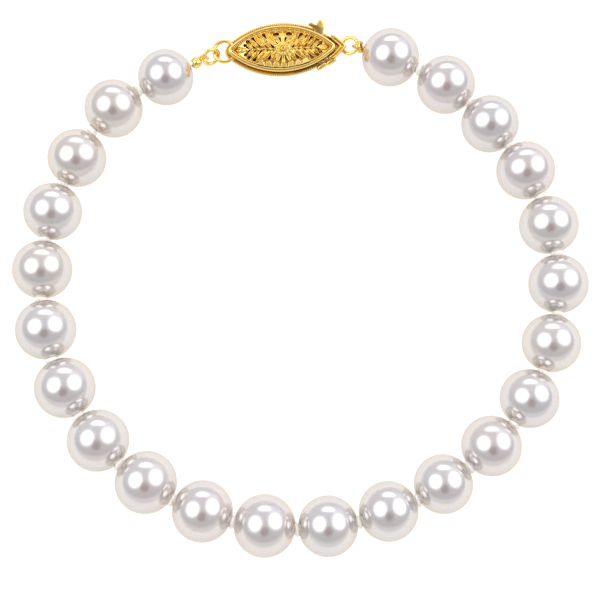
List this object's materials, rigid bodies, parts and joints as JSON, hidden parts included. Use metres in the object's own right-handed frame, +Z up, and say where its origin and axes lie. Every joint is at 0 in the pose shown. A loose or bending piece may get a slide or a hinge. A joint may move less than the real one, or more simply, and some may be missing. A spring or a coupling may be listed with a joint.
{
  "type": "pearl bracelet",
  "caption": "Knotted strand of round white pearls closed into a loop by a gold marquise filigree clasp with a thumb tab.",
  "frame": {"origin": "middle of the bracelet's box, on the surface that it lies on", "axes": "+Z up from that surface, +Y towards the clasp, +X towards the clasp's tongue end"},
  "size_m": [0.0652, 0.0626, 0.007],
  "materials": {
    "pearl": "lustrous nacre",
    "silk": "twisted silk",
    "gold": "polished yellow gold"
  },
  "bodies": {
    "bracelet": {"pearl_01": "pearl", "pearl_02": "pearl", "pearl_03": "pearl", "pearl_04": "pearl", "pearl_05": "pearl", "pearl_06": "pearl", "pearl_07": "pearl", "pearl_08": "pearl", "pearl_09": "pearl", "pearl_10": "pearl", "pearl_11": "pearl", "pearl_12": "pearl", "pearl_13": "pearl", "pearl_14": "pearl", "pearl_15": "pearl", "pearl_16": "pearl", "pearl_17": "pearl", "pearl_18": "pearl", "pearl_19": "pearl", "pearl_20": "pearl", "pearl_21": "pearl", "pearl_22": "pearl", "pearl_23": "pearl", "silk_thread": "silk", "jump_ring_left": "gold", "jump_ring_right": "gold", "bead_tip_left": "gold", "bead_tip_right": "gold", "clasp_case": "gold", "clasp_tongue": "gold"},
    "release_lever": {"release_lever": "gold"}
  },
  "joints": [
    {"name": "release_lever_hinge", "type": "hinge", "parent": "bracelet", "child": "release_lever", "pos_m": [-0.00388, 0.02794, 0.00181], "axis": [-0.0051, 0.2419, -0.9703], "range_deg": [0, 6], "stiffness_Nm_per_rad": 0.1}
  ]
}
